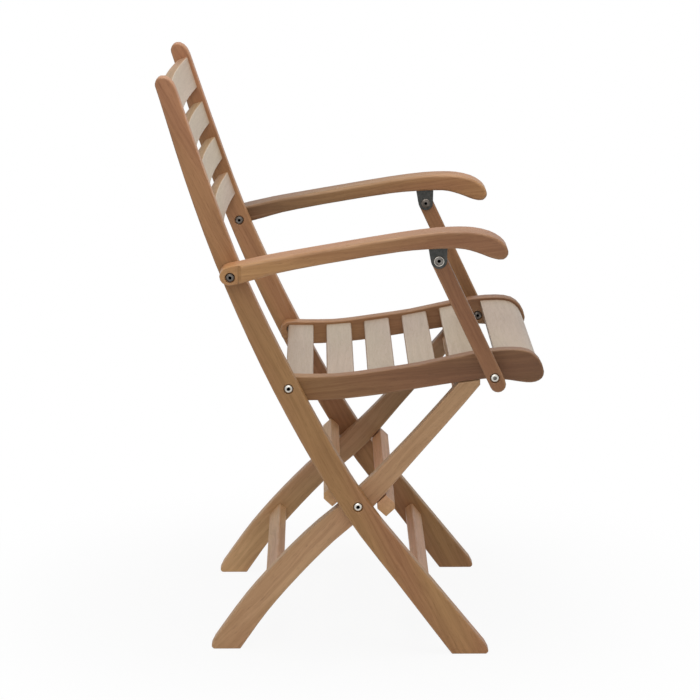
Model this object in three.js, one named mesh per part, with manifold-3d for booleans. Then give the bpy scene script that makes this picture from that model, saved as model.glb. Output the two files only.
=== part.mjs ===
// A folding teak armchair. Two bowed posts run on below the seat as the front legs, and a second
// pair of legs crosses them like scissors. Posts, seat rails, struts and arms make a parallelogram,
// so the seat and the arms fold up against the back together.
// Sizes are millimetres. X runs across the chair, -Y is its front and +Z is up. A side view is
// drawn in Y and Z, with Y at zero on the scissor bolt and Z at zero on the floor.

import * as THREE from 'three';
import { mergeVertices } from 'three/addons/utils/BufferGeometryUtils.js';
import Module from 'manifold-3d';

const wasm = await Module();
wasm.setup();

// Clearances
const jointGap = 0.3;
const runningGap = 0.4;
const hingeGap = 1.6;
const bearingGap = 0.5;

// Main pivots, seen from the side
const scissorHeight = 234.4;
const seatPivotSetback = 104.7;
const seatPivotRise = 184.6;
const armPivotSetback = 85;
const armPivotRise = 179;
const strutBoltAhead = 308.7;
const strutBoltRise = 22.5;

// Widths across the chair
const seatInsideWidth = 379;
const railThickness = 22;
const postThickness = 27;
const armWidth = 48;
const strutThickness = 20;
const strutStandoff = 8;
const edgeEase = 2;
const frameEase = 2.4;
const armEase = 4;

// Posts, each the back upright and the front leg in one bowed piece
const postHeight = 890;
const postTopSetback = 98.8;
const postFootReach = 176;
const postFootWidth = 50;
const postShinWidth = 43.8;
const postScissorWidth = 39;
const postScissorSetback = 4;
const postSeatWidth = 37.5;
const postSeatSetback = 3.4;
const postArmWidth = 33.4;
const postShoulderWidth = 32;
const postTopWidth = 27.5;
const postTopFrontRound = 24;
const postTopBackRound = 11;
const postTopLean = 2.5;
const postToeReach = 24.5;
const shinShares = [0.508, 0.502];
const shoulderShares = [0.476, 0.445];

// Rear legs, which cross inside the posts and carry the seat rails on their tops
const legFootReach = 207;
const legFootWidth = 42;
const legCalfWidth = 41;
const legShinWidth = 39;
const legScissorWidth = 36.8;
const legScissorAhead = 5.5;
const legThighWidth = 30.2;
const legTopWidth = 28;
const legTopReach = 148.7;
const legTopRise = 160.8;
const legNoseReach = 185.5;
const legHeelReach = 18.5;
const calfShares = [0.724, 0.652];
const legShinShares = [0.315, 0.25];
const thighShares = [0.449, 0.437];
const kneeShares = [0.853, 0.84];

// Feet, whose toe or heel is cut back above the floor and whose sole has one eased edge. The toe
// and heel reaches above run from the foot's middle on the floor.
const toeDrop = 3.5;
const toeRise = 9;
const soleEase = 3;

// Seat rails, drawn ahead of the seat pivot and above it
const railReach = 386.7;
const railCrest = 54.4;
const railShares = [
  [-0.019, 0.235], [0.06, 0.24], [0.177, 0.246], [0.273, 0.318], [0.3685, 0.414], [0.51, 0.566],
  [0.666, 0.806], [0.7776, 0.952], [0.878, 1], [0.9416, 0.932], [0.981, 0.7], [1, 0.36],
  [0.992, 0.17], [0.967, 0.066], [0.932, 0.048], [0.8645, 0.118], [0.7854, 0.16], [0.7517, 0.142],
  [0.639, 0.035], [0.497, -0.125], [0.364, -0.28], [0.231, -0.395], [0.1275, -0.443],
  [0.02, -0.445], [-0.0185, -0.4], [-0.0405, -0.23], [-0.0455, -0.04], [-0.038, 0.13],
];

// Seat slats
const slatSink = 5;
const slatThickness = 12;
const slatWidth = 42;
const slatPitch = 61.6;
const slatFirstAhead = 16.4;
const plainSlatCount = 5;
const frontSlatAhead = 311.5;
const frontSlatDrop = 16;
const frontTenonAhead = 333;
const slatTenonLength = 9;
const slatTenonThickness = 6;
const slatTenonShoulder = 8;
const firstTenonAhead = 11;

// Back slats
const backSlatThickness = 17;
const backSlatBow = 11.5;
const backSlatSetIn = 5.3;
const topSlatWidth = 53;
const backSlatWidth = 39;
const backSlatGap = 23;
const topSlatDrop = 26;
const lowSlatRise = 36;
const backTenonLength = 12;
const backTenonThickness = 8;
const backTenonShoulder = 4;

// Stretchers and stop bars
const stretcherWidth = 28;
const stretcherThickness = 16;
const stretcherTenonLength = 12;
const stretcherTenonShoulder = 4;
const stretcherTenonThickness = 8;
const frontStretcherHeight = 98.5;
const rearStretcherHeight = 105.5;
const tieBarWidth = 24;
const tieBarThickness = 16;
const tieBarRise = 11;
const stopBarHalfWidth = 13.3;
const stopBarSideHeight = 8.8;
const stopBarPeak = 12.4;
const stopBarReach = 22;
const rearBarSetback = 5;
const rearBarStandoff = 5.5;

// Arms, drawn ahead of the arm pivot and above it
const armReach = 410;
const armCrest = 70;
const armShares = [
  [0, 0.233], [0.032, 0.271], [0.132, 0.4], [0.245, 0.519], [0.395, 0.669], [0.61, 0.879],
  [0.744, 0.979], [0.824, 1], [0.878, 0.986], [0.937, 0.907], [0.976, 0.779], [0.996, 0.643],
  [1, 0.5], [0.983, 0.393], [0.946, 0.414], [0.907, 0.5], [0.863, 0.586], [0.8185, 0.629],
  [0.7, 0.607], [0.61, 0.557], [0.395, 0.357], [0.293, 0.25], [0.172, 0.107], [0.101, -0.01],
  [0.031, -0.121], [-0.001, -0.161], [-0.027, -0.114], [-0.0385, 0.029], [-0.0245, 0.179],
];
const tongueLength = 11;
const tongueRelief = 6;

// Struts
const strutWidth = 24;
const strutFootOverhang = 23;
const strutHeadOverhang = 12;
const strutEndRound = 12;

// Steel brackets under the arms
const bracketSteel = 2.5;
const bracketBackWidth = 16;
const bracketFrontWidth = 12.5;
const bracketRadius = 12;
const bracketHousing = 1;
const bracketPlay = 0.5;
const bracketScrewSpacing = 16;
const bracketScrewRadius = 2;
const bracketScrewLength = 16;
const bracketScrewHeadRadius = 3.6;
const bracketScrewHeadHeight = 2;

// Pivot hardware
const boltRadius = 3;
const boltHeadRadius = 6.6;
const boltHeadRim = 1.4;
const boltHeadDome = 2.2;
const boltTipChamfer = 0.6;
const socketRadius = 2.8;
const socketDepth = 2.2;
const counterboreRadius = 7.8;
const counterboreDepth = 4.6;
const sleeveRadius = 4.3;
const nutHeadRadius = 6.6;
const nutHeadRim = 1.4;
const nutHeadDome = 1.8;
const nutSocketDepth = 1.6;
const insertCover = 3;
const flangeRadius = 7.6;
const washerRadius = 8;
const washerThickness = 1;
const spacerRadius = 8.5;
const openPlay = 0.6;

// Fineness of curves
const lineSteps = 24;
const endSteps = 4;
const bowSteps = 6;
const easeSteps = 3;
const domeSteps = 3;
const pointSteps = 2;
const searchRounds = 30;
const straightShare = 0.1;
const turnSides = 16;
const boreSides = 24;
const weldTolerance = 1e-4;

// Places that follow from the sizes above
const railInner = seatInsideWidth / 2;
const railOuter = railInner + railThickness;
const postInner = railOuter + hingeGap;
const postOuter = postInner + postThickness;
const armInner = postOuter + hingeGap;
const armOuter = armInner + armWidth;
const tongueOuter = armOuter - tongueRelief;
const strutInner = postOuter + strutStandoff;
const strutOuter = strutInner + strutThickness;
const cutOverrun = postThickness;

const floor = new THREE.Vector2(0, 0);
const scissor = new THREE.Vector2(0, scissorHeight);
const seatPivot = offset(scissor, seatPivotSetback, seatPivotRise);
const armPivot = offset(seatPivot, armPivotSetback, armPivotRise);
const strutBolt = offset(seatPivot, -strutBoltAhead, strutBoltRise);
const bracketBolt = offset(armPivot, -strutBoltAhead, strutBoltRise);

// Local X, Y and Z of an extruded outline become the chair's Y, Z and X
const sideways = new THREE.Matrix4().makeBasis(
  new THREE.Vector3(0, 1, 0), new THREE.Vector3(0, 0, 1), new THREE.Vector3(1, 0, 0));

const teak = finish(0x9a7350, 0.62, 0);
const paleTeak = finish(0xb89c7c, 0.7, 0);
const silver = finish(0xb4b4b2, 0.32, 1);
const darkSteel = finish(0x434844, 0.42, 0.9);

function finish(color, roughness, metalness) {
  return () => new THREE.MeshStandardMaterial({ color, roughness, metalness });
}

function offset(point, y, z) {
  return new THREE.Vector2(point.x + y, point.y + z);
}

// A place part of the way from one point to another, with a share for each direction
function between(from, to, [yShare, zShare]) {
  return offset(from, (to.x - from.x) * yShare, (to.y - from.y) * zShare);
}

// The point at a distance past the end of a line from one point to another
function beyond(from, to, distance) {
  return to.clone().add(to.clone().sub(from).setLength(distance));
}

// Outlines in side view

// The middle line of a bowed member, whose third value is the member's width
function memberLine(stations) {
  const points = stations.map(([point, width]) => new THREE.Vector3(point.x, point.y, width));
  return new THREE.CatmullRomCurve3(points, false, 'centripetal');
}

// A place on a middle line, with the line's direction and the member's width there
function stationAt(line, share) {
  const place = line.getPointAt(share);
  const tangent = line.getTangentAt(share);
  const along = new THREE.Vector2(tangent.x, tangent.y).normalize();
  return {
    point: new THREE.Vector2(place.x, place.y),
    along,
    across: new THREE.Vector2(-along.y, along.x),
    angle: Math.atan2(along.y, along.x),
    width: place.z,
  };
}

// The share of a rising middle line at which it reaches a height
function shareAtHeight(line, height) {
  let low = 0;
  let high = 1;
  for (let round = 0; round < searchRounds; round++) {
    const middle = (low + high) / 2;
    if (stationAt(line, middle).point.y < height) {
      low = middle;
    } else {
      high = middle;
    }
  }
  return low;
}

// The two long edges of a member, the left one from its lower end up and the right one down
function memberSides(line) {
  const left = [];
  const right = [];
  for (let step = 0; step <= lineSteps; step++) {
    const { point, across, width } = stationAt(line, step / lineSteps);
    left.push(point.clone().addScaledVector(across, width / 2));
    right.unshift(point.clone().addScaledVector(across, -width / 2));
  }
  return { left, right };
}

// A quarter of an ellipse from a long edge of a member to its tip
function quarterRound(centre, along, length, across, width) {
  const points = [];
  for (let step = 0; step <= endSteps; step++) {
    const turn = (step / endSteps) * Math.PI / 2;
    points.push(centre.clone()
      .addScaledVector(along, Math.sin(turn) * length)
      .addScaledVector(across, Math.cos(turn) * width));
  }
  return points;
}

// What is left of an outline on the side of a line that the keep direction points to. The line
// cuts nothing above the ceiling.
function trimmed(points, through, keep, ceiling) {
  const depth = (point) => {
    const distance = point.clone().sub(through).dot(keep);
    return point.y > ceiling ? Math.abs(distance) : distance;
  };
  const kept = [];
  points.forEach((point, index) => {
    const next = points[(index + 1) % points.length];
    const here = depth(point);
    const there = depth(next);
    if (here >= 0) {
      kept.push(point);
    }
    if ((here >= 0) !== (there >= 0)) {
      kept.push(point.clone().lerp(next, here / (here - there)));
    }
  });
  return kept;
}

// The cuts that shape a foot, whose toe or heel ends at a place on Y and lies the given way from it
function footCuts(outline, end, way, along) {
  const corner = edgeAt(outline, end, Math.max);
  const low = offset(corner, 0, -toeDrop);
  const slope = corner.clone().addScaledVector(along, toeRise).sub(low);
  return [
    [floor, new THREE.Vector2(0, 1)],
    [new THREE.Vector2(end, 0), new THREE.Vector2(way, 0)],
    [new THREE.Vector2(end + way * soleEase, 0), new THREE.Vector2(way, 1)],
    [low, new THREE.Vector2(slope.y, -slope.x).multiplyScalar(way)],
  ];
}

function cutBy(outline, cuts, ceiling = Infinity) {
  return withoutStubs(cuts.reduce(
    (points, [through, keep]) => trimmed(points, through, keep, ceiling), outline));
}

// An outline without the nearly straight points that lie so close to a corner that the rounding
// of the board's edges would reach past them
function withoutStubs(points) {
  return points.filter((point, index) => {
    const before = points[(index + points.length - 1) % points.length];
    const after = points[(index + 1) % points.length];
    const turn = point.clone().sub(before).normalize().cross(after.clone().sub(point).normalize());
    const nearest = Math.min(point.distanceTo(before), point.distanceTo(after));
    return nearest >= frameEase || Math.abs(turn) > straightShare;
  });
}

// A closed smooth outline through shares of a reach ahead of a pivot and of a rise above it
function smoothOutline(pivot, reach, rise, shares) {
  const points = shares.map(([ahead, up]) => (
    new THREE.Vector3(pivot.x - ahead * reach, pivot.y + up * rise, 0)));
  const curve = new THREE.CatmullRomCurve3(points, true, 'centripetal');
  return curve.getPoints(points.length * pointSteps).slice(0, -1)
    .map((point) => new THREE.Vector2(point.x, point.y));
}

// The top or bottom of an outline at a place on Y, picked by Math.max or Math.min
function edgeAt(outline, y, pick) {
  const heights = [];
  outline.forEach((point, index) => {
    const next = outline[(index + 1) % outline.length];
    if ((point.x < y) !== (next.x < y)) {
      heights.push(THREE.MathUtils.lerp(point.y, next.y, (y - point.x) / (next.x - point.x)));
    }
  });
  return new THREE.Vector2(y, pick(...heights));
}

// The two ends of a rounded bar, from one long edge round the tip to the other
function roundEnd(tip, along, across, width) {
  const centre = tip.clone().addScaledVector(along, -strutEndRound);
  const back = across.clone().negate();
  return [
    ...quarterRound(centre, along, strutEndRound, across, width / 2),
    ...quarterRound(centre, along, strutEndRound, back, width / 2).reverse().slice(1),
  ];
}

// The corners of a rectangle with eased edges, turned about its centre
function easedSection(centre, angle, width, thickness) {
  const halfWidth = width / 2;
  const halfThickness = thickness / 2;
  const corners = [
    [halfWidth, halfThickness - edgeEase], [halfWidth - edgeEase, halfThickness],
    [edgeEase - halfWidth, halfThickness], [-halfWidth, halfThickness - edgeEase],
    [-halfWidth, edgeEase - halfThickness], [edgeEase - halfWidth, -halfThickness],
    [halfWidth - edgeEase, -halfThickness], [halfWidth, edgeEase - halfThickness],
  ];
  return corners.map(([y, z]) => (
    new THREE.Vector2(y, z).rotateAround(floor, angle).add(centre)));
}

// Solids

// A closed mesh made ready for cutting and joining
function solid(geometry) {
  geometry.deleteAttribute('normal');
  geometry.deleteAttribute('uv');
  const welded = mergeVertices(geometry, weldTolerance);
  return new wasm.Manifold(new wasm.Mesh({
    numProp: 3,
    vertProperties: new Float32Array(welded.attributes.position.array),
    triVerts: new Uint32Array(welded.index.array),
  }));
}

function geometryOf(body) {
  const { vertProperties, triVerts } = body.getMesh();
  const geometry = new THREE.BufferGeometry();
  geometry.setAttribute('position', new THREE.BufferAttribute(vertProperties, 3));
  geometry.setIndex(new THREE.BufferAttribute(triVerts, 1));
  return geometry;
}

// An outline in side view given thickness from its inner face to its outer face, with edges that
// are rounded in so many steps
function board(points, inner, outer, ease, steps = easeSteps) {
  const geometry = new THREE.ExtrudeGeometry(new THREE.Shape(points), {
    depth: outer - inner - ease - ease,
    steps: 1,
    bevelEnabled: ease > 0,
    bevelThickness: ease,
    bevelSize: ease,
    bevelOffset: -ease,
    bevelSegments: steps,
  });
  geometry.translate(0, 0, inner + ease);
  geometry.applyMatrix4(sideways);
  return solid(geometry);
}

// A bar or hole along X, round or with as many sides as asked
function rod(centre, radius, from, to, sides = boreSides) {
  const geometry = new THREE.CylinderGeometry(radius, radius, to - from, sides);
  geometry.rotateZ(Math.PI / 2);
  geometry.translate((from + to) / 2, centre.x, centre.y);
  return solid(geometry);
}

// A piece turned about an axis along X, from pairs of radius and place on X
function turned(centre, profile) {
  const geometry = new THREE.LatheGeometry(
    profile.map(([radius, x]) => new THREE.Vector2(radius, x)), turnSides);
  geometry.rotateZ(-Math.PI / 2);
  geometry.translate(0, centre.x, centre.y);
  return solid(geometry);
}

// A rectangular block, turned in side view about its centre
function block(centre, angle, from, to, length, height) {
  const geometry = new THREE.BoxGeometry(to - from, length, height);
  geometry.rotateX(angle);
  geometry.translate((from + to) / 2, centre.x, centre.y);
  return solid(geometry);
}

// A member across the chair, between two faces, with a tenon past each face
function crossMember({ section, face, tenon, station }) {
  const { centre, angle, length, width, thickness } = tenon;
  const shoulder = face - jointGap;
  const body = section
    ? board(section, -shoulder, shoulder, edgeEase / 2, 1)
    : bowedBoard(station, shoulder);
  const root = shoulder - length;
  const end = face + length;
  return body
    .add(block(centre, angle, root, end, width, thickness))
    .add(block(centre, angle, -end, -root, width, thickness));
}

// A back slat, flat from top to bottom and bowed back between its ends
function bowedBoard({ point, along, across, width }, shoulder) {
  const half = backSlatThickness / 2;
  const front = [];
  const back = [];
  for (let step = -bowSteps; step <= bowSteps; step++) {
    const share = step / bowSteps;
    const middle = backSlatBow * (share * share - 1);
    front.push(new THREE.Vector2(share * shoulder, middle + half));
    back.unshift(new THREE.Vector2(share * shoulder, middle - half));
  }
  const geometry = new THREE.ExtrudeGeometry(new THREE.Shape([...front, ...back]), {
    depth: width - edgeEase - edgeEase,
    steps: 1,
    bevelEnabled: true,
    bevelThickness: edgeEase,
    bevelSize: edgeEase,
    bevelOffset: -edgeEase,
    bevelSegments: 2,
  });
  geometry.translate(0, 0, edgeEase - width / 2);
  geometry.applyMatrix4(new THREE.Matrix4().makeBasis(
    new THREE.Vector3(-1, 0, 0),
    new THREE.Vector3(0, across.x, across.y),
    new THREE.Vector3(0, along.x, along.y)));
  geometry.translate(0, point.x, point.y);
  return solid(geometry);
}

// The hole in a side piece that takes a cross member's tenon
function mortised(body, face, tenon) {
  const { centre, angle, length, width, thickness } = tenon;
  const play = jointGap + jointGap;
  const end = face + length + jointGap;
  return body.subtract(
    block(centre, angle, face - cutOverrun, end, width + play, thickness + play));
}

// A round hole right through a side piece, with a wider seat in its inner or outer face
function drilled(body, centre, radius, inner, outer, seat = {}) {
  const { innerDepth = 0, outerDepth = 0 } = seat;
  let result = body.subtract(rod(centre, radius, inner - cutOverrun, outer + cutOverrun));
  if (innerDepth > 0) {
    const hole = rod(centre, counterboreRadius, inner - cutOverrun, inner + innerDepth);
    result = result.subtract(hole);
  }
  if (outerDepth > 0) {
    const hole = rod(centre, counterboreRadius, outer - outerDepth, outer + cutOverrun);
    result = result.subtract(hole);
  }
  return result;
}

// Hardware, drawn for the left side of the chair

// The quarter section of a dome, from its rim at a place on X to its crown
function dome(radius, rim, height) {
  const points = [];
  for (let step = 0; step < domeSteps; step++) {
    const turn = (step / domeSteps) * Math.PI / 2;
    points.push([radius * Math.cos(turn), rim + height * Math.sin(turn)]);
  }
  points.push([0, rim + height]);
  return points;
}

// A domed bolt with a six-sided socket, from its tip to its head's seat on an outer face
function boltBody(centre, tip, seat, headRadius) {
  const rim = seat + boltHeadRim;
  const crown = rim + boltHeadDome;
  const socket = rod(centre, socketRadius, crown - socketDepth, crown + socketDepth, 6);
  return turned(centre, [
    [0, tip], [boltRadius - boltTipChamfer, tip], [boltRadius, tip + boltTipChamfer],
    [boltRadius, seat], [headRadius, seat], ...dome(headRadius, rim, boltHeadDome),
  ]).subtract(socket);
}

// A sleeve nut, whose domed head faces the middle of the chair and whose sleeve takes the bolt
function sleeveNutBody(centre, seat, mouth, headRadius) {
  const rim = seat - nutHeadRim;
  const crown = rim - nutHeadDome;
  const bore = boltRadius + jointGap;
  const socket = rod(centre, socketRadius, crown - nutSocketDepth, crown + nutSocketDepth, 6);
  return turned(centre, [
    ...dome(headRadius, rim, -nutHeadDome).reverse(), [headRadius, seat],
    [sleeveRadius, seat], [sleeveRadius, mouth], [bore, mouth], [bore, seat], [0, seat],
  ]).subtract(socket);
}

// A threaded insert, closed at the end that faces the middle of the chair
function insertBody(centre, end, mouth) {
  const bore = boltRadius + jointGap;
  return turned(centre, [
    [0, end], [sleeveRadius, end], [sleeveRadius, mouth], [bore, mouth],
    [bore, end + nutHeadRim], [0, end + nutHeadRim],
  ]);
}

function ringBody(centre, innerRadius, outerRadius, from, to) {
  return turned(centre, [
    [innerRadius, from], [outerRadius, from], [outerRadius, to], [innerRadius, to],
    [innerRadius, from],
  ]);
}

// A round-headed screw that points up
function screwBody(x, y, seat) {
  const crown = seat - bracketScrewHeadHeight;
  const tip = seat + bracketScrewLength;
  const rimRadius = bracketScrewHeadRadius - bracketScrewRadius / 2;
  const profile = [
    [0, crown], [rimRadius, crown], [bracketScrewHeadRadius, seat - bracketScrewHeadHeight / 2],
    [bracketScrewHeadRadius, seat], [bracketScrewRadius, seat],
    [bracketScrewRadius, tip - bracketScrewRadius], [0, tip],
  ];
  const geometry = new THREE.LatheGeometry(
    profile.map(([radius, z]) => new THREE.Vector2(radius, z)), turnSides);
  geometry.rotateX(Math.PI / 2);
  geometry.translate(x, y, 0);
  return solid(geometry);
}

// Middle lines and outlines that several pieces share

const postTip = new THREE.Vector2(armPivot.x + postTopSetback, postHeight);
const postFoot = new THREE.Vector2(-postFootReach, 0);
const shoulderPlace = between(armPivot, postTip, shoulderShares);
const postNeck = beyond(shoulderPlace, postTip, -postTopFrontRound);
const postScissorMiddle = offset(scissor, postScissorSetback, 0);
const shinPlace = between(postFoot, postScissorMiddle, shinShares);
const postLine = memberLine([
  [beyond(shinPlace, postFoot, postFootWidth), postFootWidth],
  [postFoot, postFootWidth],
  [shinPlace, postShinWidth],
  [postScissorMiddle, postScissorWidth],
  [offset(seatPivot, postSeatSetback, 0), postSeatWidth],
  [armPivot, postArmWidth],
  [shoulderPlace, postShoulderWidth],
  [postNeck, postTopWidth],
]);

const legFoot = new THREE.Vector2(legFootReach, 0);
const legTop = offset(scissor, -legTopReach, legTopRise);
const legScissorMiddle = offset(scissor, -legScissorAhead, 0);
const calf = between(legScissorMiddle, legFoot, calfShares);
const knee = between(legScissorMiddle, legTop, kneeShares);
const legLine = memberLine([
  [beyond(calf, legFoot, legFootWidth), legFootWidth],
  [legFoot, legFootWidth],
  [calf, legCalfWidth],
  [between(legScissorMiddle, legFoot, legShinShares), legShinWidth],
  [legScissorMiddle, legScissorWidth],
  [between(legScissorMiddle, legTop, thighShares), legThighWidth],
  [legTop, legTopWidth],
  [beyond(knee, legTop, legTopWidth + legTopWidth), legTopWidth],
]);

const railOutline = smoothOutline(seatPivot, railReach, railCrest, railShares);
const armOutline = smoothOutline(armPivot, armReach, armCrest, armShares);
const postOutline = shapePost();
const legOutline = shapeLeg();
const strutOutline = shapeStrut();

function shapePost() {
  const { left, right } = memberSides(postLine);
  const { across, along } = stationAt(postLine, 1);
  const back = across.clone().negate();
  const apex = postNeck.clone().addScaledVector(back, postTopLean);
  const backStart = apex.clone().addScaledVector(along, postTopFrontRound - postTopBackRound);
  const frontWidth = postTopWidth / 2 + postTopLean;
  const backWidth = postTopWidth / 2 - postTopLean;
  const outline = [
    ...left,
    ...quarterRound(apex, along, postTopFrontRound, across, frontWidth).slice(1),
    ...quarterRound(backStart, along, postTopBackRound, back, backWidth).reverse().slice(1),
    ...right,
  ];
  const foot = stationAt(postLine, shareAtHeight(postLine, floor.y));
  const toe = -postFootReach - postToeReach;
  return cutBy(outline, footCuts(outline, toe, 1, foot.along), scissorHeight);
}

// The rear leg's top is cut to the slope of the rail's underside, which rests on it
function shapeLeg() {
  const { left, right } = memberSides(legLine);
  const noseY = -legNoseReach;
  const front = edgeAt(railOutline, noseY, Math.min);
  const rear = edgeAt(railOutline, noseY + legTopWidth + edgeEase, Math.min);
  const under = rear.clone().sub(front).normalize();
  const down = new THREE.Vector2(under.y, -under.x);
  const outline = [...left, ...right];
  const foot = stationAt(legLine, shareAtHeight(legLine, floor.y));
  const heel = legFootReach + legHeelReach;
  const footed = cutBy(outline, footCuts(outline, heel, -1, foot.along), scissorHeight);
  return cutBy(footed, [
    [front.addScaledVector(down, bearingGap), down],
    [new THREE.Vector2(noseY, 0), new THREE.Vector2(1, 0)],
  ]);
}

function shapeStrut() {
  const along = bracketBolt.clone().sub(strutBolt).normalize();
  const down = along.clone().negate();
  const across = new THREE.Vector2(-along.y, along.x);
  const head = bracketBolt.clone().addScaledVector(along, strutHeadOverhang);
  const foot = strutBolt.clone().addScaledVector(down, strutFootOverhang);
  return [
    ...roundEnd(head, along, across.clone().negate(), strutWidth),
    ...roundEnd(foot, down, across, strutWidth),
  ];
}

// The underside of the arm over the bracket, at its highest
function armUndersideHeight() {
  const places = [bracketBackWidth, 0, -bracketFrontWidth];
  return Math.max(...places.map((y) => edgeAt(armOutline, bracketBolt.x + y, Math.min).y));
}

const bracketTop = armUndersideHeight() + bracketHousing - jointGap;
const bracketInner = strutInner - bracketPlay - bracketSteel;
const bracketOuter = strutOuter + bracketPlay + bracketSteel;
const bracketMiddle = (bracketInner + bracketOuter) / 2;

// Cross members, each as a section, the face that it stops at and its tenons

function postMember(station, width, thickness, tenonShoulder, tenonLength, tenonThickness) {
  const { point, angle } = station;
  return {
    section: easedSection(point, angle, width, thickness),
    face: postInner,
    tenon: {
      centre: point,
      angle,
      length: tenonLength,
      width: width - tenonShoulder - tenonShoulder,
      thickness: tenonThickness,
    },
  };
}

// Back slats from the top one down, as many as fit above the arm pivot
function backSlats() {
  const length = postLine.getLength();
  const armDrop = length * (1 - shareAtHeight(postLine, armPivot.y)) + postTopFrontRound;
  const slats = [];
  let below = topSlatDrop;
  let width = topSlatWidth;
  while (below + width <= armDrop - lowSlatRise) {
    slats.push(backSlat(1 - (below + width / 2 - postTopFrontRound) / length, width));
    below += width + backSlatGap;
    width = backSlatWidth;
  }
  return slats;
}

// A back slat's ends, set in a little from the posts' front edges
function backSlat(share, width) {
  const { point, along, across, angle, width: postWidth } = stationAt(postLine, share);
  const ahead = (postWidth - backSlatThickness) / 2 - backSlatSetIn;
  const centre = point.addScaledVector(across, ahead);
  return {
    station: { point: centre, along, across, width },
    face: postInner,
    tenon: {
      centre,
      angle,
      length: backTenonLength,
      width: width - backTenonShoulder - backTenonShoulder,
      thickness: backTenonThickness,
    },
  };
}

const backSlatMembers = backSlats();
const frontStretcher = postMember(
  stationAt(postLine, shareAtHeight(postLine, frontStretcherHeight)),
  stretcherWidth, stretcherThickness,
  stretcherTenonShoulder, stretcherTenonLength, stretcherTenonThickness);
const rearStretcher = {
  ...postMember(
    stationAt(legLine, shareAtHeight(legLine, rearStretcherHeight)),
    stretcherWidth, stretcherThickness,
    stretcherTenonShoulder, stretcherTenonLength, stretcherTenonThickness),
  face: railInner,
};
const tieBar = {
  ...postMember(
    stationAt(legLine, shareAtHeight(legLine, legTop.y + tieBarRise)),
    tieBarWidth, tieBarThickness,
    stretcherTenonShoulder, stretcherTenonLength, stretcherTenonThickness),
  face: railInner,
};

// The seat slats lie at one depth below the rails' top edges
function plainSlat(index) {
  const middle = seatPivot.x - slatFirstAhead - index * slatPitch;
  const front = edgeAt(railOutline, middle - slatWidth / 2, Math.max);
  const rear = edgeAt(railOutline, middle + slatWidth / 2, Math.max);
  const along = rear.clone().sub(front).normalize();
  const down = new THREE.Vector2(along.y, -along.x);
  const centre = front.clone().lerp(rear, 1 / 2)
    .addScaledVector(down, slatSink + slatThickness / 2);
  const frontReach = slatWidth / 2 - slatTenonShoulder;
  const rearReach = index === 0 ? slatFirstAhead - firstTenonAhead : frontReach;
  return {
    section: easedSection(centre, along.angle(), slatWidth, slatThickness),
    face: railInner,
    tenon: {
      centre: centre.clone().addScaledVector(along, (rearReach - frontReach) / 2),
      angle: along.angle(),
      length: slatTenonLength,
      width: frontReach + rearReach,
      thickness: slatTenonThickness,
    },
  };
}

// The front slat follows the rails' crest and rolls down over their nose
function frontSlat() {
  const startY = seatPivot.x - frontSlatAhead;
  const endZ = seatPivot.y + frontSlatDrop;
  const path = [
    edgeAt(railOutline, startY, Math.max),
    ...railOutline.filter((point) => point.x < startY && point.y > endZ),
  ];
  const inward = path.map((point, index) => {
    const before = path[Math.max(index - 1, 0)];
    const after = path[Math.min(index + 1, path.length - 1)];
    const along = after.clone().sub(before).normalize();
    return new THREE.Vector2(-along.y, along.x);
  });
  const depth = (reach) => path.map((point, index) => (
    point.clone().addScaledVector(inward[index], reach)));
  const tenonY = seatPivot.x - frontTenonAhead;
  const front = edgeAt(railOutline, tenonY - slatWidth / 4, Math.max);
  const rear = edgeAt(railOutline, tenonY + slatWidth / 4, Math.max);
  const along = rear.clone().sub(front).normalize();
  return {
    section: [...depth(slatSink), ...depth(slatSink + slatThickness).reverse()],
    face: railInner,
    tenon: {
      centre: front.lerp(rear, 1 / 2)
        .addScaledVector(new THREE.Vector2(along.y, -along.x), slatSink + slatThickness / 2),
      angle: along.angle(),
      length: slatTenonLength,
      width: slatWidth - slatTenonShoulder - slatTenonShoulder,
      thickness: slatTenonThickness,
    },
  };
}

const seatSlats = [...Array(plainSlatCount).keys()].map(plainSlat);
seatSlats.push(frontSlat());

// The stop bars lie beside the rear legs. The open legs' edges meet the front one, and the rear one
// stands a little further back.
function stopBarSection(way, setback, standoff) {
  const reachShare = (stopBarReach + setback) / legLine.getLength();
  const openShare = shareAtHeight(legLine, scissor.y) + way * reachShare;
  const { point, across, width } = stationAt(legLine, openShare);
  const half = stopBarHalfWidth;
  const side = stopBarSideHeight / 2;
  const corners = [
    [half, side], [0, side + stopBarPeak], [-half, side],
    [-half, -side], [0, -side - stopBarPeak], [half, -side],
  ].map(([y, z]) => new THREE.Vector2(y, z));
  const toBar = across.clone().multiplyScalar(way);
  const reach = Math.max(...corners.map((corner) => corner.dot(toBar)));
  const centre = point.addScaledVector(toBar, width / 2 + runningGap + reach + standoff);
  return corners.map((corner) => corner.add(centre));
}

// Named pieces. Those on the right are mirror images of those on the left.

const sides = ['left', 'right'];

function piece(name, body, look, side) {
  const geometry = geometryOf(body);
  if (side === 'right') {
    geometry.scale(-1, 1, 1);
    geometry.index.array.reverse();
  }
  geometry.computeBoundingBox();
  const anchor = geometry.boundingBox.getCenter(new THREE.Vector3());
  geometry.translate(-anchor.x, -anchor.y, -anchor.z);
  geometry.computeVertexNormals();
  const mesh = new THREE.Mesh(geometry, look());
  mesh.name = side ? `${name}_${side}` : name;
  mesh.position.copy(anchor);
  return mesh;
}

// Pieces that move as one, in a group whose origin lies on the pivot that they turn about
function assembly(pivot, pieces) {
  const group = new THREE.Group();
  group.position.set(0, pivot.x, pivot.y);
  group.updateMatrixWorld();
  pieces.forEach((item) => group.attach(item));
  return group;
}

function cross(name, member, look) {
  return piece(name, crossMember(member), look);
}

function stopBar(end, section) {
  const reach = postInner - jointGap;
  return piece(`stop_bar_${end}`, board(section, -reach, reach, 0), teak);
}

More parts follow.
